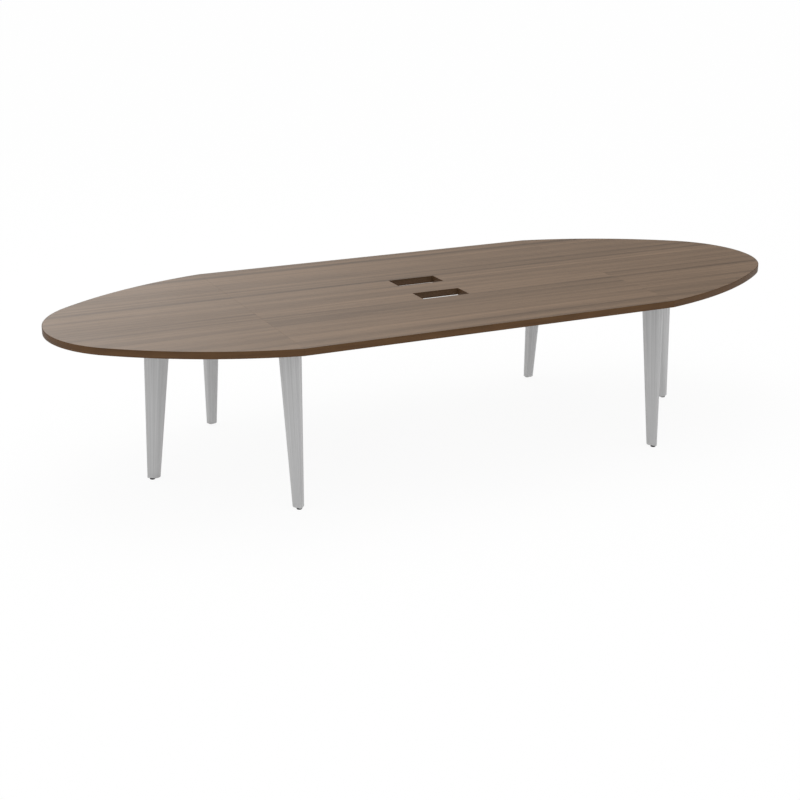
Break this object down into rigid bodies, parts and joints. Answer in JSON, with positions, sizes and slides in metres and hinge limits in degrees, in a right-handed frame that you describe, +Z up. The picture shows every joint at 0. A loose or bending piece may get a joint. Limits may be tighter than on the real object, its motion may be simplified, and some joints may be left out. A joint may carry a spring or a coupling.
{
  "type": "conference table",
  "caption": "Boat-shaped conference table with a panelled laminate top, rectangular power cut-outs, leaning tapered metal legs and screw-in levelling glides.",
  "frame": {"origin": "on the floor, under the middle of the top", "axes": "+X along the table, +Y towards the rear long side, +Z up"},
  "size_m": [3.658, 1.422, 0.75],
  "materials": {
    "laminate": "satin walnut-grained laminate",
    "banding": "dark walnut edge banding",
    "paint": "satin silver-grey paint",
    "steel": "zinc-plated steel",
    "glide": "black moulded nylon",
    "plug": "dark moulded plastic",
    "dowel": "plain beech"
  },
  "bodies": {
    "table": {"top_panel_middle": "laminate", "top_panel_left": "laminate", "top_panel_right": "laminate", "edge_band_front": "banding", "edge_band_rear": "banding", "edge_band_left": "banding", "edge_band_right": "banding", "cutout_band_front": "banding", "cutout_band_rear": "banding", "seam_bolt_left_front": "steel", "seam_bolt_left_rear": "steel", "seam_bolt_right_front": "steel", "seam_bolt_right_rear": "steel", "half_moon_left_front_left": "steel", "half_moon_left_front_right": "steel", "half_moon_left_rear_left": "steel", "half_moon_left_rear_right": "steel", "half_moon_right_front_left": "steel", "half_moon_right_front_right": "steel", "half_moon_right_rear_left": "steel", "half_moon_right_rear_right": "steel", "seam_dowel_left_front": "dowel", "seam_dowel_left_middle": "dowel", "seam_dowel_left_rear": "dowel", "seam_dowel_right_front": "dowel", "seam_dowel_right_middle": "dowel", "seam_dowel_right_rear": "dowel", "stiffener_front": "steel", "stiffener_rear": "steel", "leg_left_end": "paint", "leg_right_end": "paint", "leg_front_left": "paint", "leg_front_right": "paint", "leg_rear_left": "paint", "leg_rear_right": "paint", "leg_plate_left_end": "paint", "leg_plate_right_end": "paint", "leg_plate_front_left": "paint", "leg_plate_front_right": "paint", "leg_plate_rear_left": "paint", "leg_plate_rear_right": "paint", "leg_plug_left_end": "plug", "leg_plug_right_end": "plug", "leg_plug_front_left": "plug", "leg_plug_front_right": "plug", "leg_plug_rear_left": "plug", "leg_plug_rear_right": "plug"},
    "left_end_glide": {"glide_base_left_end": "glide", "glide_stud_left_end": "steel"},
    "right_end_glide": {"glide_base_right_end": "glide", "glide_stud_right_end": "steel"},
    "front_left_glide": {"glide_base_front_left": "glide", "glide_stud_front_left": "steel"},
    "front_right_glide": {"glide_base_front_right": "glide", "glide_stud_front_right": "steel"},
    "rear_left_glide": {"glide_base_rear_left": "glide", "glide_stud_rear_left": "steel"},
    "rear_right_glide": {"glide_base_rear_right": "glide", "glide_stud_rear_right": "steel"}
  },
  "joints": [
    {"name": "left_end_level", "type": "slide", "parent": "table", "child": "left_end_glide", "axis": [0, 0, -1], "range_m": [0, 0.015]},
    {"name": "right_end_level", "type": "slide", "parent": "table", "child": "right_end_glide", "axis": [0, 0, -1], "range_m": [0, 0.015]},
    {"name": "front_left_level", "type": "slide", "parent": "table", "child": "front_left_glide", "axis": [0, 0, -1], "range_m": [0, 0.015]},
    {"name": "front_right_level", "type": "slide", "parent": "table", "child": "front_right_glide", "axis": [0, 0, -1], "range_m": [0, 0.015]},
    {"name": "rear_left_level", "type": "slide", "parent": "table", "child": "rear_left_glide", "axis": [0, 0, -1], "range_m": [0, 0.015]},
    {"name": "rear_right_level", "type": "slide", "parent": "table", "child": "rear_right_glide", "axis": [0, 0, -1], "range_m": [0, 0.015]}
  ]
}
